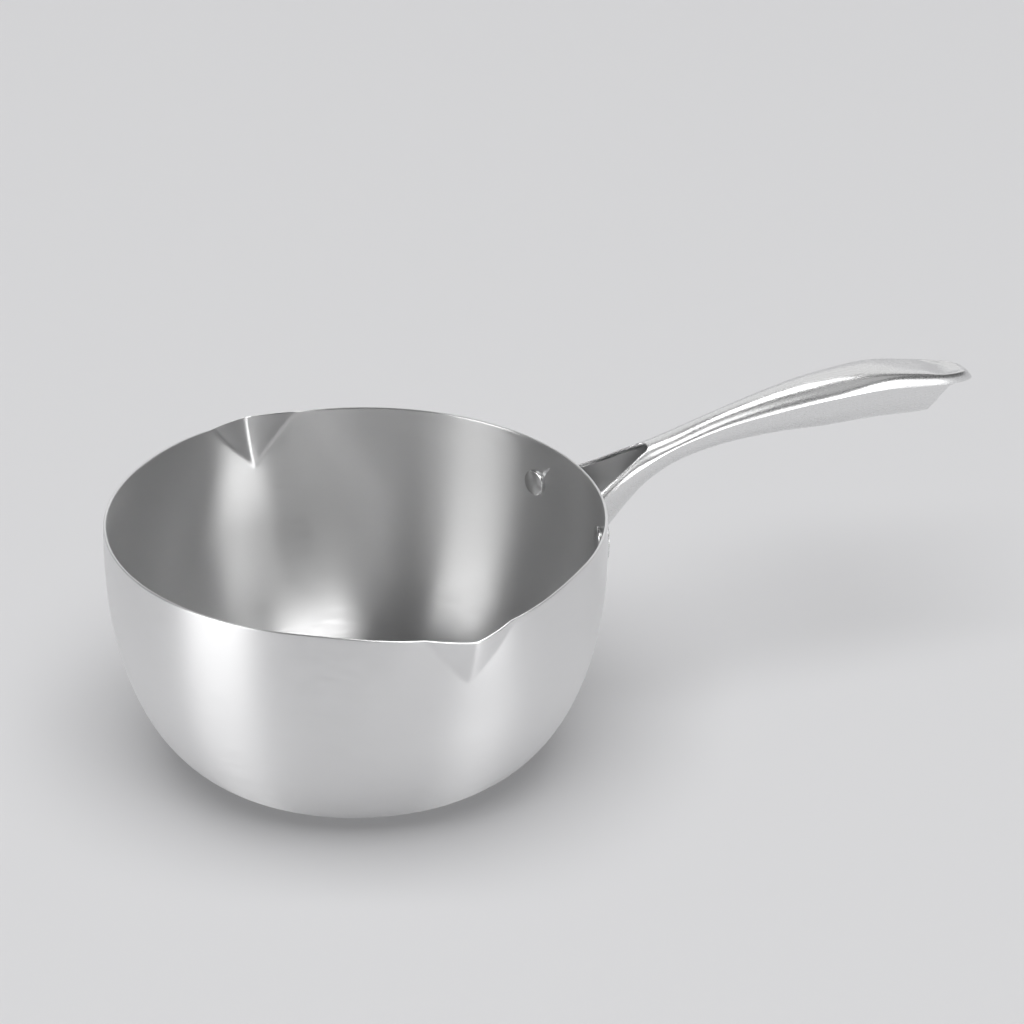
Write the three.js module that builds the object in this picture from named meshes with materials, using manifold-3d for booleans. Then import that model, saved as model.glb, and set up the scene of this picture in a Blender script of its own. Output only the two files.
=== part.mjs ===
// Saucepan with two pouring lips and a hollow handle on two rivets.
// Sizes are in millimetres and +Z is up. The origin is the middle of the flat base, the handle
// runs along +X, and the pouring lips face +Y and -Y.
import * as THREE from 'three';
import { mergeVertices } from 'three/addons/utils/BufferGeometryUtils.js';
import Module from 'manifold-3d';

const wasm = await Module();
wasm.setup();

// Pan: one sheet of steel, drawn to a bowl with a flat base
const RIM_RADIUS = 90;
const PAN_HEIGHT = 92;
const BASE_RADIUS = 49.5;
const PAN_WALL = 1;
const BASE_TURN = 22;
const WALL_TURN = 59;
const WALL_BELLY = 2.75;

// Pouring lips: the wall is drawn out broadly on two sides, and a V shape is pressed into the
// middle of each. The rim falls as the sheet moves out.
const LIP_DRAW = 4.2;
const LIP_DRAW_TURN = 38;
const LIP_DRAW_DEPTH = 45;
const LIP_DRAW_FALL = 0.5;
const LIP_REACH = 4.5;
const LIP_FALL = 0.25;
const LIP_HALF_WIDTH = 15.5;
const LIP_DEPTH = 20;
const LIP_CREASE_RADIUS = 1.2;
const LIP_EDGE_SOFTNESS = 0.08;

// Rivets: a domed head inside the pan and a tail set flush in the ear, level below the rim
const RIVET_SPACING = 52;
const RIVET_DROP = 17;
const RIVET_SHANK_RADIUS = 1.9;
const RIVET_HEAD_RADIUS = 5;
const RIVET_HEAD_HEIGHT = 1.9;
const RIVET_TAIL_RADIUS = 3.2;
const RIVET_TAIL_DEPTH = 0.7;
const RIVET_CLEARANCE = 0.3;

// Handle: an upper and a lower pressed shell that meet along a seam on each side.
// Each station gives its distance out from the rim, the height of the seam above the rim,
// half the width, the rise of the upper shell and the depth of the lower one.
const HANDLE_SHEET = 1;
const SEAM_GAP = 0.3;
const WALL_CLEARANCE = 0.3;
const HANDLE_STATIONS = [
  { out: -8, seam: -11.0, halfWidth: 19.0, crown: 3.0, keel: 27.5 },
  { out: 10, seam: -6.0, halfWidth: 11.2, crown: 4.2, keel: 16.4 },
  { out: 24, seam: -2.0, halfWidth: 7.4, crown: 4.2, keel: 10.3 },
  { out: 38, seam: 1.9, halfWidth: 6.0, crown: 3.0, keel: 8.4 },
  { out: 58, seam: 5.6, halfWidth: 6.2, crown: 3.8, keel: 9.2 },
  { out: 80, seam: 8.1, halfWidth: 8.2, crown: 5.2, keel: 11.6 },
  { out: 100, seam: 9.6, halfWidth: 10.2, crown: 5.8, keel: 14.6 },
  { out: 122, seam: 9.2, halfWidth: 10.6, crown: 6.4, keel: 15.2 },
  { out: 144, seam: 6.0, halfWidth: 9.8, crown: 5.8, keel: 14.2 },
  { out: 166, seam: 2.6, halfWidth: 9.0, crown: 4.6, keel: 13.0 },
];
const UPPER_ARCH = 75;
const LOWER_ARCH = 70;

// Far end of the handle: the lower shell sweeps up like a bow, below a rounded lip
const NOSE_LENGTH = 25;
const NOSE_FULLNESS = 2.7;
const BOW_SETBACK = 10;
const BOW_LENGTH = 9;
const LIP_PLATE = 1.6;

// Fork: a slot in the upper shell next to the pan, and a notch in the lower one
const SLOT_REACH = 28.5;
const SLOT_END_RADIUS = 3.9;
const SLOT_WALL_HALF_WIDTH = 12.4;
const NOTCH_REACH = 8;
const NOTCH_HALF_WIDTH = 8;

// Ears: the ends of the lower shell's arms, bent flat along the pan for the rivets
const EAR_RADIUS = 9;
const EAR_ARM_HEIGHT = 13;
const EAR_STEP = 1;

// Fineness of the round shapes
const PAN_COLUMNS = 96;
const PAN_ROWS_BELOW_LIPS = 9;
const PAN_ROWS_AT_LIPS = 6;
const RIM_STEPS = 3;
const LIP_COLUMN_CROWDING = 0.45;
const HANDLE_ROWS = 26;
const NOSE_ROWS = 7;
const ARCH_STEPS = 10;
const RIVET_SIDES = 20;
const DOME_STEPS = 4;
const HOLE_SIDES = 20;
const OUTLINE_STEPS = 8;

// How far a cutting shape runs past what it cuts
const CUT_MARGIN = 30;

// Closeness of points that count as one, of the search for a height and of a measured slope
const WELD_DISTANCE = 1e-4;
const SEARCH_STEPS = 40;
const SLOPE_REACH = 0.5;

// Finish: brushed steel on the pan, polished steel on the handle and the rivets
const PAN_STEEL = { color: 0xc2c3c3, roughness: 0.32, metalness: 1 };
const HANDLE_STEEL = { color: 0xc9cac9, roughness: 0.24, metalness: 1 };
const RIVET_STEEL = { color: 0xc9cac9, roughness: 0.2, metalness: 1 };

// The same geometry with shared corners and no faces of zero size
function welded(geometry) {
  const bare = geometry.clone();
  bare.deleteAttribute('normal');
  bare.deleteAttribute('uv');
  const merged = mergeVertices(bare, WELD_DISTANCE);
  const corners = [];
  for (let i = 0; i < merged.index.count; i += 3) {
    const a = merged.index.getX(i);
    const b = merged.index.getX(i + 1);
    const c = merged.index.getX(i + 2);
    if (a !== b && b !== c && c !== a) {
      corners.push(a, b, c);
    }
  }
  merged.setIndex(corners);
  return merged;
}

function solidFrom(geometry) {
  const closed = welded(geometry);
  return new wasm.Manifold(new wasm.Mesh({
    numProp: 3,
    vertProperties: new Float32Array(closed.attributes.position.array),
    triVerts: new Uint32Array(closed.index.array),
  }));
}

function geometryFrom(solid) {
  const mesh = solid.getMesh();
  const geometry = new THREE.BufferGeometry();
  geometry.setAttribute('position', new THREE.BufferAttribute(mesh.vertProperties, 3));
  geometry.setIndex(new THREE.BufferAttribute(mesh.triVerts, 1));
  geometry.computeVertexNormals();
  return geometry;
}

function steelPiece(name, geometry, steel) {
  const piece = new THREE.Mesh(geometry, new THREE.MeshStandardMaterial(steel));
  piece.name = name;
  return piece;
}

// A flat outline in X and Y made into a prism from one height to another
function prism(outline, bottom, top) {
  const settings = { depth: top - bottom, bevelEnabled: false, curveSegments: OUTLINE_STEPS };
  return new THREE.ExtrudeGeometry(outline, settings).translate(0, 0, bottom);
}

// Pan profile

// The outside of the wall, from the edge of the flat base to the start of the rounded rim
const wallLine = new THREE.CubicBezierCurve(
  new THREE.Vector2(BASE_RADIUS, 0),
  new THREE.Vector2(BASE_RADIUS + BASE_TURN, 0),
  new THREE.Vector2(RIM_RADIUS + WALL_BELLY, PAN_HEIGHT - WALL_TURN),
  new THREE.Vector2(RIM_RADIUS, PAN_HEIGHT - PAN_WALL / 2),
);

// A point of the wall, moved towards the inside by an inset
function wallPoint(along, inset) {
  const point = wallLine.getPoint(along);
  const tangent = wallLine.getTangent(along);
  return new THREE.Vector2(point.x - inset * tangent.y, point.y + inset * tangent.x);
}

// Where along the wall line a height lies
function alongAtHeight(height) {
  let low = 0;
  let high = 1;
  for (let step = 0; step < SEARCH_STEPS; step += 1) {
    const middle = (low + high) / 2;
    if (wallLine.getPoint(middle).y < height) {
      low = middle;
    } else {
      high = middle;
    }
  }
  return (low + high) / 2;
}

// Steps up the wall, closer together where the lips are pressed
function wallSteps() {
  const lipFoot = alongAtHeight(PAN_HEIGHT - LIP_DEPTH);
  const steps = [];
  for (let i = 0; i < PAN_ROWS_BELOW_LIPS; i += 1) {
    steps.push(lipFoot * i / PAN_ROWS_BELOW_LIPS);
  }
  for (let i = 0; i <= PAN_ROWS_AT_LIPS; i += 1) {
    steps.push(lipFoot + (1 - lipFoot) * i / PAN_ROWS_AT_LIPS);
  }
  return steps;
}

// A vertical axis, with the profile's second value as the height
function turned(profile, columns) {
  return new THREE.LatheGeometry(profile, columns).rotateX(Math.PI / 2);
}

// A round swell: 1 in the middle, 0 from a share of 1 on
function swell(share) {
  return Math.cos(Math.PI / 2 * Math.min(Math.abs(share), 1)) ** 2;
}

// How far the wall is drawn out, broadly and smoothly, at a place near a lip
function lipDraw(angle, height) {
  const turn = Math.abs(angle) - Math.PI / 2;
  const turnShare = turn / THREE.MathUtils.degToRad(LIP_DRAW_TURN);
  return LIP_DRAW * swell(turnShare) * swell((PAN_HEIGHT - height) / LIP_DRAW_DEPTH);
}

// How strongly the V is pressed at a place on the wall: 1 at a lip's tip, 0 clear of it
function lipPress(angle, height) {
  const arc = RIM_RADIUS * Math.abs(Math.abs(angle) - Math.PI / 2);
  const across = Math.hypot(arc, LIP_CREASE_RADIUS) - LIP_CREASE_RADIUS;
  const press = 1 - across / LIP_HALF_WIDTH - (PAN_HEIGHT - height) / LIP_DEPTH;
  if (press <= -LIP_EDGE_SOFTNESS) {
    return 0;
  }
  if (press < LIP_EDGE_SOFTNESS) {
    return (press + LIP_EDGE_SOFTNESS) ** 2 / (4 * LIP_EDGE_SOFTNESS);
  }
  return press;
}

// Columns are crowded towards the lips, and the wall there is pressed out and down
function pressLips(geometry) {
  const position = geometry.attributes.position;
  for (let i = 0; i < position.count; i += 1) {
    const radius = Math.hypot(position.getX(i), position.getY(i));
    const even = Math.atan2(position.getY(i), position.getX(i));
    const angle = even + LIP_COLUMN_CROWDING / 2 * Math.sin(2 * even);
    const height = position.getZ(i);
    const draw = lipDraw(angle, height);
    const press = LIP_REACH * lipPress(angle, height);
    const pressed = radius + draw + press;
    const fall = LIP_DRAW_FALL * draw + LIP_FALL * press;
    position.setXYZ(i, pressed * Math.cos(angle), pressed * Math.sin(angle), height - fall);
  }
  return geometry;
}

function panGeometry() {
  const profile = [new THREE.Vector2(0, 0)];
  const steps = wallSteps();
  for (const along of steps) {
    profile.push(wallPoint(along, 0));
  }
  const rimStart = wallPoint(1, 0);
  const rimEnd = wallPoint(1, PAN_WALL);
  const rimMiddle = rimStart.clone().add(rimEnd).multiplyScalar(0.5);
  for (let i = 1; i < RIM_STEPS; i += 1) {
    const turn = Math.PI * i / RIM_STEPS;
    profile.push(new THREE.Vector2(
      rimMiddle.x + PAN_WALL / 2 * Math.cos(turn),
      rimMiddle.y + PAN_WALL / 2 * Math.sin(turn),
    ));
  }
  for (const along of steps.reverse()) {
    profile.push(wallPoint(along, PAN_WALL));
  }
  profile.push(new THREE.Vector2(0, PAN_WALL));
  return pressLips(turned(profile, PAN_COLUMNS));
}

// A filled body with the pan's outer shape, grown by a margin and carried up past the rim
function panEnvelope(margin) {
  const profile = [new THREE.Vector2(0, -margin)];
  for (const along of wallSteps()) {
    profile.push(wallPoint(along, -margin));
  }
  profile.push(new THREE.Vector2(RIM_RADIUS + margin, PAN_HEIGHT + CUT_MARGIN));
  profile.push(new THREE.Vector2(0, PAN_HEIGHT + CUT_MARGIN));
  return solidFrom(turned(profile, PAN_COLUMNS));
}

// Rivets

const rivetHeight = PAN_HEIGHT - RIVET_DROP;
const rivetAlong = alongAtHeight(rivetHeight);
const rivetWallRadius = wallLine.getPoint(rivetAlong).x;
const rivetAngle = Math.asin(RIVET_SPACING / 2 / rivetWallRadius);
const rivetTilt = Math.atan2(-wallLine.getTangent(rivetAlong).x, wallLine.getTangent(rivetAlong).y);

// Turns a shape made along +Z so that it points out through the pan's wall at a rivet
function atRivet(geometry, side) {
  geometry.rotateY(Math.PI / 2 - rivetTilt);
  geometry.rotateZ(side * rivetAngle);
  const x = rivetWallRadius * Math.cos(rivetAngle);
  const y = side * rivetWallRadius * Math.sin(rivetAngle);
  return geometry.translate(x, y, rivetHeight);
}

// Half of the domed head, from its middle to its edge, on a seat inside the pan
function domePoints(seat) {
  const points = [new THREE.Vector2(0, seat - RIVET_HEAD_HEIGHT)];
  for (let i = DOME_STEPS - 1; i >= 0; i -= 1) {
    const turn = Math.PI / 2 * i / DOME_STEPS;
    const rise = RIVET_HEAD_HEIGHT * Math.sin(turn);
    points.push(new THREE.Vector2(RIVET_HEAD_RADIUS * Math.cos(turn), seat - rise));
  }
  return points;
}

// Half of the shank and of the tail that widens to the outside of the ear. The hole grows them
// by a clearance.
function shankPoints(start, growth) {
  const earFace = WALL_CLEARANCE + HANDLE_SHEET;
  return [
    new THREE.Vector2(RIVET_SHANK_RADIUS + growth, start),
    new THREE.Vector2(RIVET_SHANK_RADIUS + growth, earFace - RIVET_TAIL_DEPTH),
    new THREE.Vector2(RIVET_TAIL_RADIUS + growth, earFace),
  ];
}

// The head seats on the inside of the pan, clear of its bend
function rivetGeometry(side) {
  const wallBend = RIVET_HEAD_RADIUS ** 2 / (2 * rivetWallRadius);
  const facetTurn = Math.PI / PAN_COLUMNS * (1 + LIP_COLUMN_CROWDING);
  const facetBend = rivetWallRadius * (1 - Math.cos(facetTurn));
  const seat = -PAN_WALL - wallBend - facetBend - RIVET_CLEARANCE;
  const shank = shankPoints(seat, 0);
  const tailMiddle = new THREE.Vector2(0, shank.at(-1).y);
  return atRivet(turned([...domePoints(seat), ...shank, tailMiddle], RIVET_SIDES), side);
}

function rivetHole(side) {
  const shank = shankPoints(-CUT_MARGIN, RIVET_CLEARANCE);
  const profile = [
    new THREE.Vector2(0, -CUT_MARGIN),
    ...shank,
    new THREE.Vector2(shank.at(-1).x, CUT_MARGIN),
    new THREE.Vector2(0, CUT_MARGIN),
  ];
  return solidFrom(atRivet(turned(profile, HOLE_SIDES), side));
}

// Handle

const stationOuts = HANDLE_STATIONS.map((station) => station.out);
const stationSizes = HANDLE_STATIONS.flatMap((station) => [
  station.seam, station.halfWidth, station.crown, station.keel,
]);
const handleSizes = new THREE.CubicInterpolant(stationOuts, stationSizes, 4);
const rootOut = stationOuts[0];
const tipOut = stationOuts.at(-1);
const noseOut = tipOut - NOSE_LENGTH;
const bowOut = tipOut - BOW_SETBACK - BOW_LENGTH;

// Sizes of the handle at a distance out from the rim, with the slope of its seam
function handleAt(out) {
  const [seam, halfWidth, crown, keel] = handleSizes.evaluate(out);
  const start = Math.max(out - SLOPE_REACH, rootOut);
  const end = Math.min(out + SLOPE_REACH, tipOut);
  const climb = handleSizes.evaluate(end)[0] - handleSizes.evaluate(start)[0];
  const slope = Math.atan2(climb, end - start);
  const sweep = THREE.MathUtils.smoothstep(out, bowOut, bowOut + BOW_LENGTH);
  return { seam, halfWidth, crown, slope, keel: THREE.MathUtils.lerp(keel, LIP_PLATE, sweep) };
}

// Rows along the handle. At the nose, the width closes along a full, rounded curve.
function handleRows(inset) {
  const rows = [];
  for (let i = 0; i < HANDLE_ROWS; i += 1) {
    rows.push({ out: THREE.MathUtils.lerp(rootOut, noseOut, i / HANDLE_ROWS), closing: 1 });
  }
  for (let i = 0; i <= NOSE_ROWS; i += 1) {
    const turn = Math.PI / 2 * i / NOSE_ROWS;
    const closing = i === NOSE_ROWS ? 0 : Math.cos(turn) ** (2 / NOSE_FULLNESS);
    const share = Math.sin(turn) ** (2 / NOSE_FULLNESS);
    rows.push({ out: noseOut + (NOSE_LENGTH - inset) * share, closing });
  }
  return rows;
}

// One curved skin of a shell as rows of points. The direction is 1 for the upper shell and -1 for
// the lower one, and the inset moves the skin inwards.
function shellSkin(direction, inset) {
  const end = THREE.MathUtils.degToRad(direction > 0 ? UPPER_ARCH : LOWER_ARCH);
  return handleRows(inset).map(({ out, closing }) => {
    const at = handleAt(out);
    const depth = Math.max((direction > 0 ? at.crown : at.keel) - inset, 0) * Math.sqrt(closing);
    const halfWidth = Math.max(at.halfWidth - inset, 0) * closing;
    const points = [];
    for (let i = 0; i <= ARCH_STEPS; i += 1) {
      const turn = end * (1 - 2 * i / ARCH_STEPS);
      const share = (Math.cos(turn) - Math.cos(end)) / (1 - Math.cos(end));
      const rise = direction * (SEAM_GAP / 2 + depth * Math.max(share, 0));
      points.push(new THREE.Vector3(
        RIM_RADIUS + out - rise * Math.sin(at.slope),
        halfWidth * Math.sin(turn) / Math.sin(end),
        PAN_HEIGHT + at.seam + rise * Math.cos(at.slope),
      ));
    }
    return points;
  });
}

// A shell: its outer and inner skins joined along the seam and at the pan's end
function shellSolid(direction) {
  const inner = shellSkin(direction, HANDLE_SHEET);
  const loops = shellSkin(direction, 0).map((points, row) => [...points, ...inner[row].reverse()]);
  const count = loops[0].length;
  const corners = [];
  const face = (a, b, c) => corners.push(...(direction > 0 ? [a, c, b] : [a, b, c]));
  for (let row = 0; row + 1 < loops.length; row += 1) {
    for (let i = 0; i < count; i += 1) {
      const here = row * count;
      const next = here + count;
      const j = (i + 1) % count;
      face(here + i, next + i, next + j);
      face(here + i, next + j, here + j);
    }
  }
  for (let i = 0; i < ARCH_STEPS; i += 1) {
    face(i, i + 1, count - 2 - i);
    face(i, count - 2 - i, count - 1 - i);
  }
  const geometry = new THREE.BufferGeometry().setFromPoints(loops.flat());
  geometry.setIndex(corners);
  return solidFrom(geometry);
}

const handleBottom = PAN_HEIGHT - CUT_MARGIN - EAR_RADIUS;
const handleTop = PAN_HEIGHT + CUT_MARGIN;

// A slot that narrows from the pan to a round end
function slotSolid() {
  const endX = RIM_RADIUS + SLOT_REACH - SLOT_END_RADIUS;
  const spread = (SLOT_WALL_HALF_WIDTH - SLOT_END_RADIUS) / (SLOT_REACH - SLOT_END_RADIUS);
  const startHalfWidth = SLOT_WALL_HALF_WIDTH + spread * CUT_MARGIN;
  const outline = new THREE.Shape();
  outline.moveTo(RIM_RADIUS - CUT_MARGIN, startHalfWidth);
  outline.lineTo(RIM_RADIUS - CUT_MARGIN, -startHalfWidth);
  outline.lineTo(endX, -SLOT_END_RADIUS);
  outline.absarc(endX, 0, SLOT_END_RADIUS, -Math.PI / 2, Math.PI / 2, false);
  outline.closePath();
  return solidFrom(prism(outline, handleBottom, handleTop));
}

// A notch with a round end that keeps the floor of the lower shell off the pan
function notchSolid() {
  const endX = RIM_RADIUS + NOTCH_REACH - NOTCH_HALF_WIDTH;
  const outline = new THREE.Shape();
  outline.moveTo(RIM_RADIUS - CUT_MARGIN, NOTCH_HALF_WIDTH);
  outline.lineTo(RIM_RADIUS - CUT_MARGIN, -NOTCH_HALF_WIDTH);
  outline.lineTo(endX, -NOTCH_HALF_WIDTH);
  outline.absarc(endX, 0, NOTCH_HALF_WIDTH, -Math.PI / 2, Math.PI / 2, false);
  outline.closePath();
  return solidFrom(prism(outline, handleBottom, handleTop));
}

// A point in the middle of an arm's sheet where it reaches the pan, at a depth below the seam.
// It is measured from the rivet: away from the handle, and up.
function armPoint(depth) {
  const at = handleAt(0);
  const end = THREE.MathUtils.degToRad(LOWER_ARCH);
  const turn = Math.acos(THREE.MathUtils.lerp(Math.cos(end), 1, Math.min(depth / at.keel, 1)));
  const halfWidth = at.halfWidth * Math.sin(turn) / Math.sin(end) - HANDLE_SHEET / 2;
  const away = rivetWallRadius * Math.sin(Math.asin(halfWidth / rivetWallRadius) - rivetAngle);
  return new THREE.Vector2(away, at.seam - depth + RIVET_DROP);
}

// An ear as seen from outside: round about its rivet, and running in to meet its arm
function earOutline(side) {
  const armTop = armPoint(EAR_STEP);
  const armFoot = armPoint(EAR_STEP + EAR_ARM_HEIGHT);
  const topTurn = armTop.angle() - Math.acos(EAR_RADIUS / armTop.length());
  const footTurn = armFoot.angle() + Math.acos(EAR_RADIUS / armFoot.length());
  const mirrored = (turn) => (side > 0 ? turn : Math.PI - turn);
  const outline = new THREE.Shape();
  outline.moveTo(side * armFoot.x, armFoot.y);
  outline.lineTo(side * armTop.x, armTop.y);
  outline.absarc(0, 0, EAR_RADIUS, mirrored(topTurn), mirrored(footTurn), side > 0);
  outline.closePath();
  return outline;
}

// The sheet of an ear lies along the pan's wall
function earSolid(side) {
  const block = prism(earOutline(side), -CUT_MARGIN / 2, CUT_MARGIN / 2).rotateZ(Math.PI / 2);
  return solidFrom(atRivet(block, side)).intersect(panEnvelope(WALL_CLEARANCE + HANDLE_SHEET));
}

const clearOfPan = panEnvelope(WALL_CLEARANCE);

function lowerShellGeometry() {
  let shell = shellSolid(-1).subtract(notchSolid());
  for (const side of [1, -1]) {
    shell = shell.add(earSolid(side)).subtract(rivetHole(side));
  }
  return geometryFrom(shell.subtract(clearOfPan));
}

function upperShellGeometry() {
  return geometryFrom(shellSolid(1).subtract(slotSolid()).subtract(clearOfPan));
}

function drilledPanGeometry() {
  return geometryFrom(solidFrom(panGeometry()).subtract(rivetHole(1)).subtract(rivetHole(-1)));
}

const saucepan = new THREE.Group();
saucepan.name = 'saucepan';
saucepan.add(steelPiece('pan_body', drilledPanGeometry(), PAN_STEEL));
saucepan.add(steelPiece('handle_lower_shell', lowerShellGeometry(), HANDLE_STEEL));
saucepan.add(steelPiece('handle_upper_shell', upperShellGeometry(), HANDLE_STEEL));
saucepan.add(steelPiece('rivet_left', rivetGeometry(1), RIVET_STEEL));
saucepan.add(steelPiece('rivet_right', rivetGeometry(-1), RIVET_STEEL));

export default saucepan;
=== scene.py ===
# Saucepan with two pouring lips and a hollow handle on two rivets.
# Lengths are in metres, +Z is up, the handle runs along +X and the lips face +Y and -Y.
import math

import bpy
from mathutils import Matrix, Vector
from mathutils.geometry import interpolate_bezier


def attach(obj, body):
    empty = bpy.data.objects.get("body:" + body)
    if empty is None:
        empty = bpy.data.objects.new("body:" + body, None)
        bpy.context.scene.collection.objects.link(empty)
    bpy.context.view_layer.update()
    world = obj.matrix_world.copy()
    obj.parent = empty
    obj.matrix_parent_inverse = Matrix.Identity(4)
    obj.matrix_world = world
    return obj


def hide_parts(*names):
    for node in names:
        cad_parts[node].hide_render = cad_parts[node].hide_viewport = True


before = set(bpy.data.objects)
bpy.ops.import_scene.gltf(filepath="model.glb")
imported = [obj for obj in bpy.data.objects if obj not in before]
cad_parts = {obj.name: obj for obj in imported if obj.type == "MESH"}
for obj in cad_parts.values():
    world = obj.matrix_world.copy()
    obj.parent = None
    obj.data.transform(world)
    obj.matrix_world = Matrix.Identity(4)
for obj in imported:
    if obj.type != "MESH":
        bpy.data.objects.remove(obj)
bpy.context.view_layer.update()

# Studio
# A round floor of pale matt paper that turns up to a low wall, so that it has no visible edge.
# Softboxes beside, behind and close above the pan light the steel, and a broad lamp the paper.
MM = 0.001
FLOOR_RADIUS = 5
FLOOR_SIDES = 96
FLOOR_TURN = 0.5
FLOOR_WALL_HEIGHT = 1.5
FLOOR_GAP = 0.1 * MM

bpy.ops.object.select_all(action="DESELECT")
bpy.ops.mesh.primitive_circle_add(
    vertices=FLOOR_SIDES, radius=FLOOR_RADIUS, fill_type="NGON", location=(0, 0, -FLOOR_GAP)
)
floor = bpy.context.object
floor.name = "studio_floor"
bpy.ops.object.mode_set(mode="EDIT")
bpy.ops.mesh.inset(thickness=FLOOR_TURN)
bpy.ops.mesh.select_all(action="DESELECT")
bpy.ops.mesh.select_non_manifold()
bpy.ops.mesh.extrude_region_move(TRANSFORM_OT_translate={"value": (0, 0, FLOOR_WALL_HEIGHT)})
bpy.ops.object.mode_set(mode="OBJECT")
bpy.ops.object.shade_smooth()


# A number or vector that a material works out at each point. Operators on it add Math nodes.
class Reading:
    def __init__(self, tree, socket=None):
        self.tree = tree
        self.socket = socket

    # Adds a node with its settings and sockets. The name i0 stands for the first socket, i1 for the
    # second, and an underscore in a name for a space.
    def node(self, kind, settings=None, output=0, **values):
        node = self.tree.nodes.new(kind)
        for name, setting in (settings or {}).items():
            setattr(node, name, setting)
        for name, value in values.items():
            name = int(name[1:]) if name[1:].isdigit() else name.replace("_", " ")
            if isinstance(value, Reading):
                self.tree.links.new(value.socket, node.inputs[name])
            else:
                node.inputs[name].default_value = value
        return Reading(self.tree, node.outputs[output])

    def math(self, operation, first, second):
        return self.node("ShaderNodeMath", {"operation": operation}, i0=first, i1=second)

    def part(self, axis):
        return self.node("ShaderNodeSeparateXYZ", output=axis, Vector=self)

    def __add__(self, other):
        return self.math("ADD", self, other)

    def __radd__(self, other):
        return self.math("ADD", other, self)

    def __sub__(self, other):
        return self.math("SUBTRACT", self, other)

    def __rsub__(self, other):
        return self.math("SUBTRACT", other, self)

    def __mul__(self, other):
        return self.math("MULTIPLY", self, other)

    def __rmul__(self, other):
        return self.math("MULTIPLY", other, self)

    def __truediv__(self, other):
        return self.math("DIVIDE", self, other)

    def __rtruediv__(self, other):
        return self.math("DIVIDE", other, self)

    def __pow__(self, other):
        return self.math("POWER", self, other)


FLOOR_COLOUR = (0.70, 0.70, 0.71, 1)
FLOOR_ROUGHNESS = 0.9
FLOOR_GLOW = 0.08
FLOOR_GLOW_COLOUR = (1, 1, 1.01, 1)

floor_paper = bpy.data.materials.new("floor_paper")
floor_paper.use_nodes = True
paper = floor_paper.node_tree.nodes["Principled BSDF"]
paper.inputs["Base Color"].default_value = FLOOR_COLOUR
paper.inputs["Roughness"].default_value = FLOOR_ROUGHNESS
paper.inputs["Specular IOR Level"].default_value = 0
paper.inputs["Emission Color"].default_value = FLOOR_GLOW_COLOUR
ray = Reading(floor_paper.node_tree)
straight = ray.node("ShaderNodeLightPath", output="Is Camera Ray")
mirrored = ray.node("ShaderNodeLightPath", output="Is Glossy Ray")
through = ray.node("ShaderNodeLightPath", output="Is Transmission Ray")
seen = ray.math("MAXIMUM", ray.math("MAXIMUM", straight, mirrored), through)
glow = seen * FLOOR_GLOW
floor_paper.node_tree.links.new(glow.socket, paper.inputs["Emission Strength"])
floor.data.materials.append(floor_paper)

STUDIO_WORLD = (0.10, 0.10, 0.102, 1)
world = bpy.data.worlds.new("studio_room")
world.use_nodes = True
world.node_tree.nodes["Background"].inputs["Color"].default_value = STUDIO_WORLD
bpy.context.scene.world = world

CAMERA_PLACE = (-0.5885, -1.3054, 0.8262)
CAMERA_TURN = math.radians(-26.5)
CAMERA_TILT = math.radians(62.89)
CAMERA_LENS = 158.2
CAMERA_SENSOR = 36
AIM_HEIGHT = 0.05


# A softbox that faces the pan, with its turn to the right of the camera and its height angle in
# degrees, its distance, width and length in metres, and the brightness of its face
def add_softbox(name, turn, height, distance, width, length, brightness):
    heading = CAMERA_TURN - math.pi / 2 + math.radians(turn)
    rise = math.radians(height)
    flat = distance * math.cos(rise)
    place = Vector((flat * math.cos(heading), flat * math.sin(heading), distance * math.sin(rise)))
    lamp = bpy.data.lights.new(name, "AREA")
    lamp.shape = "RECTANGLE"
    lamp.size = width
    lamp.size_y = length
    lamp.energy = brightness * math.pi * width * length
    box = bpy.data.objects.new(name, lamp)
    box.location = place + Vector((0, 0, AIM_HEIGHT))
    box.rotation_euler = place.to_track_quat("Z", "Y").to_euler()
    box.visible_camera = False
    bpy.context.scene.collection.objects.link(box)
    return box


# The softboxes light only the steel, and the lamp overhead lights only the floor
for softbox in (
    add_softbox("softbox_right", 58, 14, 2.4, 1.2, 1.0, 3.4),
    add_softbox("softbox_left", -60, 18, 2.4, 1.3, 1.5, 3.6),
    add_softbox("softbox_key", 158, 65, 2.4, 0.6, 0.5, 8.0),
    add_softbox("softbox_near", 42, 62, 0.43, 0.27, 0.17, 3.9),
    add_softbox("softbox_fill", 85, 55, 2.4, 1.6, 1.2, 0.4),
    add_softbox("softbox_back", 173, 32, 3.0, 3.6, 1.9, 0.7),
):
    softbox.visible_diffuse = False
floor_lamp = add_softbox("floor_lamp", 0, 78, 8.0, 8.0, 8.0, 3.12)
floor_lamp.visible_glossy = False

camera = bpy.data.objects.new("camera", bpy.data.cameras.new("camera"))
camera.location = CAMERA_PLACE
camera.rotation_euler = (CAMERA_TILT, 0, CAMERA_TURN)
camera.data.lens = CAMERA_LENS
camera.data.sensor_width = CAMERA_SENSOR
bpy.context.scene.collection.objects.link(camera)
bpy.context.scene.camera = camera
bpy.context.scene.view_settings.view_transform = "Standard"

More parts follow.
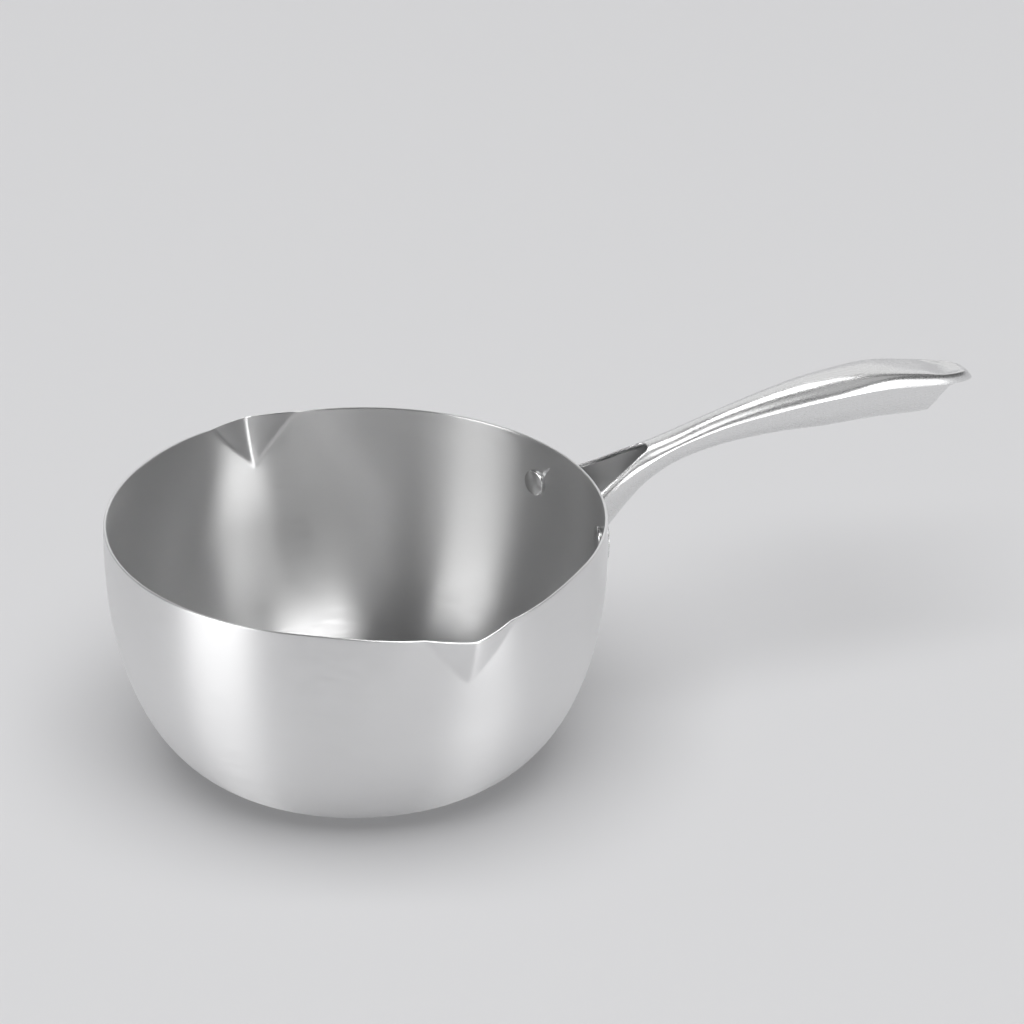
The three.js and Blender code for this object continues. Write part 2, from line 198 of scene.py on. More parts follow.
# Pan body
# One sheet of stainless steel, drawn to a bowl with a flat base and trimmed at the rim, with two
# pouring lips pressed out of the rim. It is brushed round and round, inside and outside.
RIM_RADIUS = 90 * MM
PAN_HEIGHT = 92 * MM
BASE_RADIUS = 49.5 * MM
PAN_WALL = 1.0 * MM
BASE_TURN = 22 * MM
WALL_TURN = 59 * MM
WALL_BELLY = 2.75 * MM
WALL_POINTS = 2000
LIP_DRAW = 4.2 * MM
LIP_DRAW_TURN = math.radians(38)
LIP_DRAW_DEPTH = 45 * MM
LIP_DRAW_FALL = 0.5
LIP_REACH = 4.5 * MM
LIP_FALL = 0.25
LIP_HALF_WIDTH = 15.5 * MM
LIP_DEPTH = 20 * MM
LIP_CREASE_RADIUS = 1.2 * MM
LIP_EDGE_SOFTNESS = 0.08
RIM_ROUNDING = 0.4 * MM
RIM_ROUNDING_SEGMENTS = 4
RIM_EDGE_ANGLE = 1.0
PAN_SMOOTH_ANGLE = math.radians(45)
PAN_COLUMNS = 400
PAN_ROW = 1.9 * MM
LIP_ROW = 0.6 * MM
LIP_ROWS_DEPTH = 1.15 * LIP_DEPTH
LIP_CROWDING = 0.8
BASE_RINGS = 6

wall_line = interpolate_bezier(
    Vector((BASE_RADIUS, 0)),
    Vector((BASE_RADIUS + BASE_TURN, 0)),
    Vector((RIM_RADIUS + WALL_BELLY, PAN_HEIGHT - WALL_TURN)),
    Vector((RIM_RADIUS, PAN_HEIGHT)),
    WALL_POINTS,
)

# Points up the wall's outside at even steps, closer together where the lips are pressed
pan_rows = [wall_line[0]]
for point in wall_line[1:]:
    step = LIP_ROW if point.y > PAN_HEIGHT - LIP_ROWS_DEPTH else PAN_ROW
    if (point - pan_rows[-1]).length >= step:
        pan_rows.append(point)
pan_rows[-1] = wall_line[-1]


# A round swell: 1 in the middle, 0 from a share of 1 on
def swell(share):
    return math.cos(math.pi / 2 * min(abs(share), 1)) ** 2


# How far the sheet moves out and down at a place on the wall: the broad draw, and the V pressed into it
def lip_move(angle, height):
    turn = abs(angle) - math.pi / 2
    depth = PAN_HEIGHT - height
    draw = LIP_DRAW * swell(turn / LIP_DRAW_TURN) * swell(depth / LIP_DRAW_DEPTH)
    across = math.hypot(RIM_RADIUS * turn, LIP_CREASE_RADIUS) - LIP_CREASE_RADIUS
    press = 1 - across / LIP_HALF_WIDTH - depth / LIP_DEPTH
    if press < LIP_EDGE_SOFTNESS:
        press = max(press + LIP_EDGE_SOFTNESS, 0) ** 2 / (4 * LIP_EDGE_SOFTNESS)
    press *= LIP_REACH
    return draw + press, LIP_DRAW_FALL * draw + LIP_FALL * press


bpy.ops.object.select_all(action="DESELECT")
bpy.ops.mesh.primitive_circle_add(vertices=PAN_COLUMNS, radius=BASE_RADIUS, fill_type="NGON")
bowl = bpy.context.object
bowl.name = "bowl"
bpy.ops.object.mode_set(mode="EDIT")
for ring in range(BASE_RINGS):
    bpy.ops.mesh.inset(thickness=BASE_RADIUS / (BASE_RINGS + 1))
bpy.ops.mesh.poke()
bpy.ops.mesh.select_all(action="DESELECT")
bpy.ops.mesh.select_non_manifold()
for below, here in zip(pan_rows, pan_rows[1:]):
    bpy.ops.mesh.extrude_region_move(TRANSFORM_OT_translate={"value": (0, 0, here.y - below.y)})
    growth = here.x / below.x
    bpy.ops.transform.resize(value=(growth, growth, 1), center_override=(0, 0, here.y))
bpy.ops.mesh.select_all(action="SELECT")
bpy.ops.mesh.normals_make_consistent(inside=False)
bpy.ops.object.mode_set(mode="OBJECT")

# The columns crowd towards the lips, and the lips are pressed
for corner in bowl.data.vertices:
    x, y, height = corner.co
    radius = math.hypot(x, y)
    even = math.atan2(y, x)
    angle = even + LIP_CROWDING / 2 * math.sin(2 * even)
    reach, fall = lip_move(angle, height)
    pressed = radius + reach
    corner.co = (pressed * math.cos(angle), pressed * math.sin(angle), height - fall)

# The pan is one sheet of steel, but its outside has a lighter grey, which is painted light, and its inside
# a darker grey, which is painted shade. Only the two roughnesses are a real difference of finish.
OUTSIDE_GREY_WITH_PAINTED_LIGHT = 0.90
OUTSIDE_ROUGHNESS = 0.40
INSIDE_GREY_WITH_PAINTED_SHADE = 0.72
INSIDE_ROUGHNESS = 0.35
BRUSHING_STRENGTH = 0.9
BRUSHING_TURN = 0.25
FINE_LINE = 0.5 * MM
FINE_LINE_DULLING = 0.16
BROAD_LINE = 2.5 * MM
BROAD_LINE_DULLING = 0.08
BROAD_LINE_SHARE = 0.5
LINE_BREAKS = 9
LINE_DETAIL = 2.0
LINE_RAGGEDNESS = 0.6
LINE_RELIEF = 0.25
LINE_DEPTH = 0.03 * MM
NOISE_MIDDLE = 0.5
AXIS_GAP = 1e-6


# Steel brushed in lines that run round the pan's axis, in a shade of grey and with a roughness. For the pan
# the
# # grey carries painted light on the outside and painted shade on the inside. The noise is read on a
# circle, and
# # the larger its radius LINE_BREAKS, the shorter the lines.
def brushed_steel(name, shade, dullness):
    material = bpy.data.materials.new(name)
    material.use_nodes = True
    steel = material.node_tree.nodes["Principled BSDF"]
    steel.inputs["Base Color"].default_value = (shade, shade, shade, 1)
    steel.inputs["Metallic"].default_value = 1
    steel.inputs["Anisotropic"].default_value = BRUSHING_STRENGTH
    steel.inputs["Anisotropic Rotation"].default_value = BRUSHING_TURN
    sheet = Reading(material.node_tree)
    place = sheet.node("ShaderNodeTexCoord", output="Object")
    x = place.part("X")
    y = place.part("Y")
    z = place.part("Z")
    radius = (x * x + y * y) ** 0.5 + AXIS_GAP
    circle_x = x / radius * LINE_BREAKS
    circle_y = y / radius * LINE_BREAKS

    def lines(width):
        around = sheet.node("ShaderNodeCombineXYZ", X=circle_x, Y=circle_y, Z=z / width)
        return sheet.node(
            "ShaderNodeTexNoise", {"noise_dimensions": "4D"}, output="Fac",
            Vector=around, W=radius / width, Scale=1.0, Detail=LINE_DETAIL, Roughness=LINE_RAGGEDNESS,
        )

    fine = lines(FINE_LINE)
    broad = lines(BROAD_LINE)
    fine_dulling = FINE_LINE_DULLING * (fine - NOISE_MIDDLE)
    broad_dulling = BROAD_LINE_DULLING * (broad - NOISE_MIDDLE)
    roughness = dullness + fine_dulling + broad_dulling
    material.node_tree.links.new(roughness.socket, steel.inputs["Roughness"])
    height = fine + BROAD_LINE_SHARE * broad
    relief = sheet.node(
        "ShaderNodeBump", output="Normal", Strength=LINE_RELIEF, Distance=LINE_DEPTH, Height=height
    )
    material.node_tree.links.new(relief.socket, steel.inputs["Normal"])
    return material


# Painted light: the outside is made lighter. Painted shade: the inside is made darker.
bowl.data.materials.append(brushed_steel("pan_steel_outside_painted_light", OUTSIDE_GREY_WITH_PAINTED_LIGHT, OUTSIDE_ROUGHNESS))
bowl.data.materials.append(brushed_steel("pan_steel_inside_painted_shade", INSIDE_GREY_WITH_PAINTED_SHADE, INSIDE_ROUGHNESS))


# Adds a modifier with its settings to a piece and applies it
def finish_with(piece, kind, **settings):
    bpy.context.view_layer.objects.active = piece
    modifier = piece.modifiers.new(kind, kind)
    for name, setting in settings.items():
        setattr(modifier, name, setting)
    bpy.ops.object.modifier_apply(modifier=modifier.name)


finish_with(bowl, "SOLIDIFY", thickness=PAN_WALL, offset=-1, use_even_offset=True, material_offset=1)
finish_with(
    bowl, "BEVEL", width=RIM_ROUNDING, segments=RIM_ROUNDING_SEGMENTS,
    limit_method="ANGLE", angle_limit=RIM_EDGE_ANGLE,
)
bpy.ops.object.shade_smooth_by_angle(angle=PAN_SMOOTH_ANGLE)
bowl.visible_diffuse = False
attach(bowl, "root")
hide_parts("pan_body")

# Handle, lower shell
# The pressed lower half of the hollow handle: a trough of stainless sheet that forks into two arms
# next to the pan. The arms bend out to ears, which the rivets hold against the pan's wall.
HANDLE_SHEET = 1.0 * MM
NOSE_SHEET_SHARE = 0.3
TIP_OUT = 166 * MM
NOSE_LENGTH = 25 * MM
NOSE_FULLNESS = 2.7
NOSE_STEPS = 28
HANDLE_STEP = 1.5 * MM
SLOPE_REACH = 0.5 * MM
LOWER_ARCH = math.radians(70)
ARCH_STEPS = 36
BOW_SETBACK = 10 * MM
BOW_LENGTH = 9 * MM
LIP_PLATE = 1.6 * MM
NOTCH_REACH = 8 * MM
NOTCH_STEPS = 12
ARM_END = 4.5 * MM
RIVET_SPACING = 52 * MM
RIVET_DROP = 17 * MM
EAR_RADIUS = 8 * MM
EAR_CLEARANCE = 0.1 * MM
EAR_START = 20 * MM
EAR_BEND_PULL = 0.45
EAR_BEND_POINTS = 16
EAR_FLAT_STEPS = 6
EAR_END_STEPS = 16

# Stations along the handle, in millimetres: distance out from the rim, height of the seam above the
# rim, half the width, rise of the upper shell above the seam and depth of the lower one below it
HANDLE_STATIONS = [
    (-8, -11.0, 19.0, 3.0, 27.5),
    (10, -6.0, 11.2, 4.2, 16.4),
    (24, -2.0, 7.4, 4.2, 10.3),
    (38, 1.9, 6.0, 3.0, 8.4),
    (58, 5.6, 6.2, 3.8, 9.2),
    (80, 8.1, 8.2, 5.2, 11.6),
    (100, 9.6, 10.2, 5.8, 14.6),
    (122, 9.2, 10.6, 5.8, 15.2),
    (144, 6.0, 9.8, 4.3, 14.2),
    (166, 2.6, 9.0, 3.8, 13.0),
]
SEAM_HEIGHT = 1
HALF_WIDTH = 2
CROWN_RISE = 3
KEEL_DEPTH = 4


# One of the handle's sizes, by its column, at a distance out, on a smooth curve through the stations
def station_size(out, column):
    stations = [(row[0] * MM, row[column] * MM) for row in HANDLE_STATIONS]
    last = len(stations) - 2
    here = min(max(sum(out >= place for place, size in stations) - 1, 0), last)

    def slope(i):
        low = stations[max(i - 1, 0)]
        high = stations[min(i + 1, last + 1)]
        return (high[1] - low[1]) / (high[0] - low[0])

    start, first = stations[here]
    end, second = stations[here + 1]
    reach = end - start
    share = (out - start) / reach
    rest = 1 - share
    bend = share * rest * rest * slope(here) - share * share * rest * slope(here + 1)
    return first * rest * rest * (1 + 2 * share) + second * share * share * (3 - 2 * share) + reach * bend


# A smooth climb from 0 at a start to 1 at an end
def smooth_step(value, start, end):
    share = min(max((value - start) / (end - start), 0), 1)
    return share * share * (3 - 2 * share)


# The turns of a quarter circle in even steps, without its start
def quarter_turns(steps):
    return [math.pi / 2 * i / steps for i in range(1, steps + 1)]


# The height of a round arch at a turn from its middle: 1 in the middle, 0 at the turn of its edge
def arch_height(turn, edge):
    return (math.cos(turn) - math.cos(edge)) / (1 - math.cos(edge))


# A point of a shell's cross section: across from the middle, and up from the seam
def on_handle(out, across, rise):
    climb = station_size(out + SLOPE_REACH, SEAM_HEIGHT) - station_size(out - SLOPE_REACH, SEAM_HEIGHT)
    slope = math.atan2(climb, 2 * SLOPE_REACH)
    x = RIM_RADIUS + out - rise * math.sin(slope)
    return Vector((x, across, PAN_HEIGHT + station_size(out, SEAM_HEIGHT) + rise * math.cos(slope)))


# How far along the nose a distance out is, from 0 where it starts to 1 at the tip
def nose_share(out):
    return min(max((out - TIP_OUT + NOSE_LENGTH) / NOSE_LENGTH, 0), 1)


# How much of the width is left at a distance out: the nose closes along a full, rounded curve
def nose_closing(out):
    return (1 - nose_share(out) ** NOSE_FULLNESS) ** (1 / NOSE_FULLNESS)


# Distances out along the handle from the tip to a place, closer together round the nose
def handle_outs(stop):
    turns = reversed(quarter_turns(NOSE_STEPS))
    outs = [TIP_OUT - NOSE_LENGTH * (1 - math.sin(turn) ** (2 / NOSE_FULLNESS)) for turn in turns]
    body = TIP_OUT - NOSE_LENGTH - stop
    steps = round(body / HANDLE_STEP)
    return outs + [stop + body * i / steps for i in range(steps, -1, -1)]


# A point of the lower shell, from a share of 0 in the middle or at the notch to 1 at the seam
def lower_point(out, share):
    sweep = smooth_step(out, TIP_OUT - BOW_SETBACK - BOW_LENGTH, TIP_OUT - BOW_SETBACK)
    keel = station_size(out, KEEL_DEPTH) * (1 - sweep) + LIP_PLATE * sweep
    closing = nose_closing(out)
    half_width = station_size(out, HALF_WIDTH) * closing
    start = 0
    if out < NOTCH_REACH:
        notch = math.sqrt(max(NOTCH_REACH ** 2 - max(out, 0) ** 2, 0))
        start = math.asin(notch / half_width * math.sin(LOWER_ARCH))
    turn = start + (LOWER_ARCH - start) * share
    depth = keel * math.sqrt(closing) * arch_height(turn, LOWER_ARCH)
    return on_handle(out, half_width * math.sin(turn) / math.sin(LOWER_ARCH), -depth)


# The pan's outer radius at a height
def wall_radius(height):
    return min(wall_line, key=lambda point: abs(point.y - height)).x


# A point of the ear's outer face, at a distance to the side of the handle and a height
def ear_point(side, height):
    radius = wall_radius(height) + EAR_CLEARANCE + HANDLE_SHEET
    return Vector((math.sqrt(radius * radius - side * side), side, height))


arch_shares = [i / ARCH_STEPS for i in range(ARCH_STEPS + 1)]
ear_middle = PAN_HEIGHT - RIVET_DROP


# A row of points up the ear, at a distance to the side and with half the ear's height there
def ear_row(side, half_height):
    return [ear_point(side, ear_middle + half_height * (2 * share - 1)) for share in arch_shares]


trough_outs = handle_outs(NOTCH_REACH)
arm_length = NOTCH_REACH - ARM_END
arm_outs = [ARM_END + arm_length * math.cos(turn) for turn in quarter_turns(NOTCH_STEPS)]
lower_rows = [[lower_point(out, share) for share in arch_shares] for out in trough_outs + arm_outs]
ear_bend = []
ear_first = ear_row(EAR_START, EAR_RADIUS)
ear_second = ear_row(EAR_START + MM, EAR_RADIUS)
for arm, before, ear, beyond in zip(lower_rows[-1], lower_rows[-3], ear_first, ear_second):
    heading = (arm - before).normalized()
    along = (beyond - ear).normalized()
    pull = EAR_BEND_PULL * (ear - arm).length
    ear_bend.append(interpolate_bezier(arm, arm + pull * heading, ear - pull * along, ear, EAR_BEND_POINTS))
lower_rows += [[bend[i] for bend in ear_bend] for i in range(1, EAR_BEND_POINTS)]
rivet_side = RIVET_SPACING / 2
for i in range(1, EAR_FLAT_STEPS + 1):
    lower_rows.append(ear_row(EAR_START + (rivet_side - EAR_START) * i / EAR_FLAT_STEPS, EAR_RADIUS))
for turn in quarter_turns(EAR_END_STEPS):
    lower_rows.append(ear_row(rivet_side + EAR_RADIUS * math.sin(turn), EAR_RADIUS * math.cos(turn)))

HANDLE_SHADE = 0.82
HANDLE_ROUGHNESS = 0.27
HANDLE_INSIDE_SHADE = 0.8
HANDLE_INSIDE_ROUGHNESS = 0.3
POLISH_LINE = 0.2 * MM
POLISH_LINE_LENGTH = 40 * MM
POLISH_LINE_DETAIL = 2.0
POLISH_LINE_RAGGEDNESS = 0.5
POLISH_LINE_DULLING = 0.06
POLISH_LINE_RELIEF = 0.01
POLISH_LINE_DEPTH = 0.02 * MM


# Steel polished along the handle, in a shade of grey and with a roughness
def polished_steel(name, shade, dullness):
    material = bpy.data.materials.new(name)
    material.use_nodes = True
    satin = material.node_tree.nodes["Principled BSDF"]
    satin.inputs["Base Color"].default_value = (shade, shade, shade, 1)
    satin.inputs["Metallic"].default_value = 1
    grip = Reading(material.node_tree)
    place = grip.node("ShaderNodeTexCoord", output="Object")
    x = place.part("X") / POLISH_LINE_LENGTH
    y = place.part("Y") / POLISH_LINE
    z = place.part("Z") / POLISH_LINE
    along = grip.node("ShaderNodeCombineXYZ", X=x, Y=y, Z=z)
    lines = grip.node(
        "ShaderNodeTexNoise", output="Fac",
        Vector=along, Scale=1.0, Detail=POLISH_LINE_DETAIL, Roughness=POLISH_LINE_RAGGEDNESS,
    )
    roughness = dullness + POLISH_LINE_DULLING * (lines - NOISE_MIDDLE)
    material.node_tree.links.new(roughness.socket, satin.inputs["Roughness"])
    relief = grip.node(
        "ShaderNodeBump", output="Normal",
        Strength=POLISH_LINE_RELIEF, Distance=POLISH_LINE_DEPTH, Height=lines,
    )
    material.node_tree.links.new(relief.socket, satin.inputs["Normal"])
    return material


handle_steel = polished_steel("handle_steel_satin", HANDLE_SHADE, HANDLE_ROUGHNESS)
handle_steel_inside = polished_steel("handle_steel_inside", HANDLE_INSIDE_SHADE, HANDLE_INSIDE_ROUGHNESS)

MERGE_DISTANCE = 0.01 * MM
OPEN_EDGE_ANGLE = math.radians(50)
OPEN_EDGE_REACH = 32 * MM
OPEN_EDGE_ROUNDING = 0.3 * MM
OPEN_EDGE_SEGMENTS = 3
HANDLE_SMOOTH_ANGLE = math.radians(40)


# One half of a shell from rows of points, from the tip to the pan, mirrored to the other side and
# given its sheet, which thins towards the tip. The last point of a row is on the seam, as far as the
# row where the shells part.
def make_shell(name, rows, parting):
    bpy.ops.object.select_all(action="DESELECT")
    across = len(rows[0]) - 1
    along = len(rows) - 1
    bpy.ops.mesh.primitive_grid_add(x_subdivisions=along, y_subdivisions=across, size=1)
    shell = bpy.context.object
    shell.name = name
    shell.visible_diffuse = False
    shell.data.materials.append(handle_steel)
    shell.data.materials.append(handle_steel_inside)
    seam = shell.vertex_groups.new(name="seam")
    sheet_share = shell.vertex_groups.new(name="sheet_share")
    for corner in shell.data.vertices:
        row = round((corner.co.x + 0.5) * along)
        column = round((corner.co.y + 0.5) * across)
        corner.co = rows[row][column]
        if column == across and row < parting:
            seam.add([corner.index], 1, "REPLACE")
        fullness = smooth_step(RIM_RADIUS + TIP_OUT - corner.co.x, 0, NOSE_LENGTH)
        sheet_share.add([corner.index], NOSE_SHEET_SHARE + (1 - NOSE_SHEET_SHARE) * fullness, "REPLACE")
    finish_with(shell, "MIRROR", use_axis=(False, True, False), merge_threshold=MERGE_DISTANCE)
    bpy.ops.object.mode_set(mode="EDIT")
    bpy.ops.mesh.select_all(action="SELECT")
    bpy.ops.mesh.remove_doubles(threshold=MERGE_DISTANCE)
    bpy.ops.mesh.normals_make_consistent(inside=False)
    bpy.ops.object.mode_set(mode="OBJECT")
    finish_with(
        shell, "SOLIDIFY", thickness=HANDLE_SHEET, offset=-1, material_offset=1,
        vertex_group="sheet_share", thickness_vertex_group=0.0,
    )
    return shell


# Rounds a shell's open edges, at its fork and ears, and leaves the seam sharp. Once the edges are
# picked, the vertex groups aren't needed any more and are cleared.
def round_open_edges(shell):
    bpy.context.view_layer.objects.active = shell
    bpy.ops.object.mode_set(mode="EDIT")
    bpy.ops.mesh.select_mode(type="EDGE")
    bpy.ops.mesh.select_all(action="DESELECT")
    bpy.ops.mesh.edges_select_sharp(sharpness=OPEN_EDGE_ANGLE)
    bpy.ops.object.mode_set(mode="OBJECT")
    for face in shell.data.polygons:
        face.select = False
    seam = shell.vertex_groups["seam"].index
    on_seam = [any(entry.group == seam for entry in corner.groups) for corner in shell.data.vertices]
    for edge in shell.data.edges:
        far = shell.data.vertices[edge.vertices[0]].co.x > RIM_RADIUS + OPEN_EDGE_REACH
        if far or all(on_seam[corner] for corner in edge.vertices):
            edge.select = False
    shell.vertex_groups.clear()
    bpy.ops.object.mode_set(mode="EDIT")
    bpy.ops.mesh.bevel(offset=OPEN_EDGE_ROUNDING, segments=OPEN_EDGE_SEGMENTS)
    bpy.ops.object.mode_set(mode="OBJECT")
    bpy.ops.object.shade_smooth_by_angle(angle=HANDLE_SMOOTH_ANGLE)


lower_shell = make_shell("handle_trough", lower_rows, len(trough_outs) - 1)
round_open_edges(lower_shell)
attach(lower_shell, "root")
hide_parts("handle_lower_shell")

# Handle, upper shell
# The pressed upper half of the hollow handle, arched along its length, with the fork's slot next to
# the pan and a shallow dish at the far end. It is welded to the trough and the seam is ground smooth.
UPPER_ARCH = math.radians(75)
SLOT_REACH = 28.5 * MM
SLOT_END_RADIUS = 3.9 * MM
SLOT_END_STEPS = 12
SLOT_WALL_HALF_WIDTH = 12.4 * MM
ARM_ROWS = 20
ARM_BLEND = 12 * MM
ARM_SEARCH_START = -8 * MM
ARM_SEARCH_END = 16 * MM
ARM_SEARCH_STEPS = 20
PLATEAU_START = 100 * MM
PLATEAU_END = 142 * MM
PLATEAU_FULLNESS = 8
PLATEAU_SOFTNESS = 0.9
DISH_START = 142 * MM
DISH_END = 154 * MM
DISH_DEPTH = 1.3 * MM
DISH_FLOOR_SHARE = 0.6
DISH_RIM_SHARE = 0.86
fork_out = SLOT_REACH - SLOT_END_RADIUS


# Half the slot's width at a distance out: a round end, then straight sides that spread to the pan
def slot_half_width(out):
    if out >= SLOT_REACH:
        return 0
    if out > fork_out:
        return math.sqrt(SLOT_END_RADIUS ** 2 - (out - fork_out) ** 2)
    return SLOT_END_RADIUS + (SLOT_WALL_HALF_WIDTH - SLOT_END_RADIUS) * (1 - out / fork_out)


# The upper shell's cross section at a turn round its arch: across from the middle, and its rise.
# Towards the tip the arch changes to a flat top with round sides and a shallow dish in it.
def upper_section(out, turn):
    closing = nose_closing(out)
    share = math.sin(turn) / math.sin(UPPER_ARCH)
    crown = station_size(out, CROWN_RISE)
    arch = crown * math.sqrt(closing) * arch_height(turn, UPPER_ARCH)
    sideways = (share * closing) ** NOSE_FULLNESS
    lengthways = nose_share(out) ** NOSE_FULLNESS
    edge = min((sideways + lengthways) ** (1 / NOSE_FULLNESS), 1)
    plateau = crown * (1 - edge ** PLATEAU_FULLNESS) ** PLATEAU_SOFTNESS
    flat = smooth_step(out, PLATEAU_START, PLATEAU_END)
    dish = DISH_DEPTH * smooth_step(out, DISH_START, DISH_END)
    dish *= 1 - smooth_step(edge, DISH_FLOOR_SHARE, DISH_RIM_SHARE)
    return share * station_size(out, HALF_WIDTH) * closing, arch * (1 - flat) + plateau * flat - dish


# A point of the upper shell, from a share of 0 in the middle or at the slot to 1 at the seam. The
# arch goes on beside the slot, and towards the pan each arm has a smaller arch of its own.
def upper_point(out, share):
    slot = slot_half_width(out)
    if slot == 0:
        return on_handle(out, *upper_section(out, UPPER_ARCH * share))
    half_width = station_size(out, HALF_WIDTH)
    start = math.asin(slot / half_width * math.sin(UPPER_ARCH))
    across, rise = upper_section(out, start + (UPPER_ARCH - start) * share)
    turn = UPPER_ARCH * share
    arm_across = slot + (half_width - slot) * math.sin(turn) / math.sin(UPPER_ARCH)
    arm_rise = upper_section(out, start)[1] * arch_height(turn, UPPER_ARCH)
    arm = smooth_step(SLOT_REACH - out, 0, ARM_BLEND)
    return on_handle(out, across + (arm_across - across) * arm, rise + (arm_rise - rise) * arm)


# How far out an arm of the fork meets the pan's wall
def arm_end(share):
    low = ARM_SEARCH_START
    high = ARM_SEARCH_END
    for step in range(ARM_SEARCH_STEPS):
        middle = (low + high) / 2
        point = upper_point(middle, share)
        if math.hypot(point.x, point.y) < wall_radius(point.z) + EAR_CLEARANCE:
            low = middle
        else:
            high = middle
    return high


cover_outs = handle_outs(SLOT_REACH)
cover_outs += [fork_out + SLOT_END_RADIUS * math.cos(turn) for turn in quarter_turns(SLOT_END_STEPS)]
upper_rows = [[upper_point(out, share) for share in arch_shares] for out in cover_outs]
arm_ends = [arm_end(share) for share in arch_shares]
for i in range(1, ARM_ROWS + 1):
    outs = [fork_out + (arm_out - fork_out) * i / ARM_ROWS for arm_out in arm_ends]
    upper_rows.append([upper_point(out, share) for out, share in zip(outs, arch_shares)])
upper_shell = make_shell("handle_cover", upper_rows, len(upper_rows))
round_open_edges(upper_shell)
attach(upper_shell, "root")
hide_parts("handle_upper_shell")

# Rivets
# Two solid stainless rivets with low button heads inside the pan. Each goes through the wall and an
# ear, and its tail is set almost flush with the ear's outer face.
RIVET_HEAD_RADIUS = 5 * MM
RIVET_HEAD_HEIGHT = 1.9 * MM
RIVET_HEAD_EDGE = 0.15 * MM
RIVET_HEAD_ROUNDING = 0.6 * MM
RIVET_HEAD_STEPS = 8
RIVET_DOME = 0.35 * MM
RIVET_DOME_STEPS = 8
RIVET_SHANK_RADIUS = 1.9 * MM
RIVET_TAIL_RADIUS = 3.2 * MM
RIVET_TAIL_DEPTH = 0.7 * MM
RIVET_TAIL_RISE = 0.12 * MM
RIVET_SEAT = 0.14 * MM
RIVET_SIDES = 64
RIVET_SMOOTH_ANGLE = math.radians(40)

# The rivet's outline from its tail to its head, as pairs of a radius and a height out from the wall
ear_face = EAR_CLEARANCE + HANDLE_SHEET
head_seat = -PAN_WALL - RIVET_SEAT
rivet_profile = [
    (RIVET_TAIL_RADIUS - 2 * RIVET_TAIL_RISE, ear_face + RIVET_TAIL_RISE),
    (RIVET_TAIL_RADIUS, ear_face),
    (RIVET_SHANK_RADIUS, ear_face - RIVET_TAIL_DEPTH),
    (RIVET_SHANK_RADIUS, head_seat),
    (RIVET_HEAD_RADIUS - RIVET_HEAD_EDGE, head_seat),
    (RIVET_HEAD_RADIUS, head_seat - RIVET_HEAD_EDGE),
]
head_corner = RIVET_HEAD_HEIGHT - RIVET_DOME - RIVET_HEAD_ROUNDING
for turn in [0] + quarter_turns(RIVET_HEAD_STEPS):
    ring = RIVET_HEAD_RADIUS - RIVET_HEAD_ROUNDING * (1 - math.cos(turn))
    rivet_profile.append((ring, head_seat - head_corner - RIVET_HEAD_ROUNDING * math.sin(turn)))
crown_edge = RIVET_HEAD_RADIUS - RIVET_HEAD_ROUNDING
for i in range(1, RIVET_DOME_STEPS):
    share = i / RIVET_DOME_STEPS
    rise = RIVET_HEAD_HEIGHT - RIVET_DOME * (1 - share * (2 - share))
    rivet_profile.append((crown_edge * (1 - share), head_seat - rise))

tail_radius, tail_end = rivet_profile[0]
bpy.ops.object.select_all(action="DESELECT")
bpy.ops.mesh.primitive_circle_add(
    vertices=RIVET_SIDES, radius=tail_radius, fill_type="NGON", location=(0, 0, tail_end)
)
rivet_blank = bpy.context.object
rivet_blank.name = "rivet_blank"
bpy.ops.object.transform_apply(location=True)
bpy.ops.object.mode_set(mode="EDIT")
bpy.ops.mesh.select_all(action="DESELECT")
bpy.ops.mesh.select_non_manifold()
for (wide, above), (ring, below) in zip(rivet_profile, rivet_profile[1:]):
    bpy.ops.mesh.extrude_region_move(TRANSFORM_OT_translate={"value": (0, 0, below - above)})
    bpy.ops.transform.resize(value=(ring / wide, ring / wide, 1), center_override=(0, 0, below))
bpy.ops.mesh.edge_face_add()
bpy.ops.mesh.poke()
bpy.ops.mesh.select_all(action="SELECT")
bpy.ops.mesh.normals_make_consistent(inside=False)
bpy.ops.object.mode_set(mode="OBJECT")

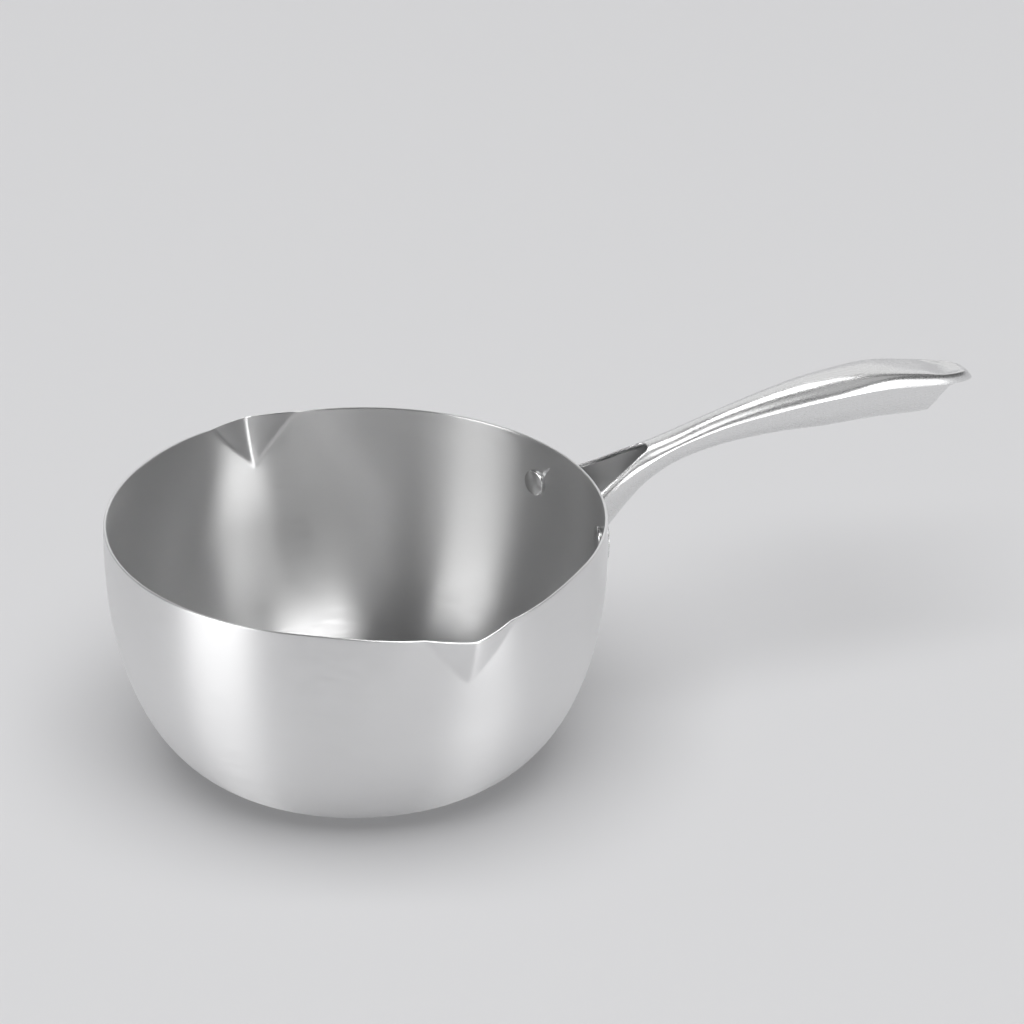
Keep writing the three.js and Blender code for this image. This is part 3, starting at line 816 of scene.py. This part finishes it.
RIVET_STEEL_COLOUR = (0.82, 0.82, 0.82, 1)
RIVET_ROUGHNESS = 0.16
PITS_PER_METRE = 900.0
PIT_DETAIL = 3.0
PIT_RAGGEDNESS = 0.6
PIT_DULLING = 0.12
rivet_steel = bpy.data.materials.new("rivet_steel_polished")
rivet_steel.use_nodes = True
polish = rivet_steel.node_tree.nodes["Principled BSDF"]
polish.inputs["Base Color"].default_value = RIVET_STEEL_COLOUR
polish.inputs["Metallic"].default_value = 1
head = Reading(rivet_steel.node_tree)
place = head.node("ShaderNodeTexCoord", output="Object")
pits = head.node(
    "ShaderNodeTexNoise", output="Fac",
    Vector=place, Scale=PITS_PER_METRE, Detail=PIT_DETAIL, Roughness=PIT_RAGGEDNESS,
)
roughness = RIVET_ROUGHNESS + PIT_DULLING * (pits - NOISE_MIDDLE)
rivet_steel.node_tree.links.new(roughness.socket, polish.inputs["Roughness"])
rivet_blank.data.materials.append(rivet_steel)

# Each rivet is a copy of the blank, turned square to the wall at the middle of its ear
near_rivet = min(range(len(wall_line)), key=lambda i: abs(wall_line[i].y - PAN_HEIGHT + RIVET_DROP))
rivet_wall = wall_line[near_rivet]
wall_climb = wall_line[near_rivet + 1] - rivet_wall
rivet_tilt = math.atan2(-wall_climb.x, wall_climb.y)
rivet_turn = math.asin(RIVET_SPACING / 2 / rivet_wall.x)
for name, node, side in (("rivet_button_left", "rivet_left", 1), ("rivet_button_right", "rivet_right", -1)):
    bpy.ops.object.select_all(action="DESELECT")
    bpy.context.view_layer.objects.active = rivet_blank
    rivet_blank.select_set(True)
    bpy.ops.object.duplicate()
    rivet = bpy.context.object
    rivet.name = name
    rivet.rotation_euler = (0, math.pi / 2 - rivet_tilt, side * rivet_turn)
    rivet.location = (rivet_wall.x * math.cos(rivet_turn), side * RIVET_SPACING / 2, rivet_wall.y)
    bpy.ops.object.transform_apply(location=True, rotation=True)
    bpy.ops.object.shade_smooth_by_angle(angle=RIVET_SMOOTH_ANGLE)
    rivet.visible_diffuse = False
    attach(rivet, "root")
    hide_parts(node)
bpy.data.objects.remove(rivet_blank)
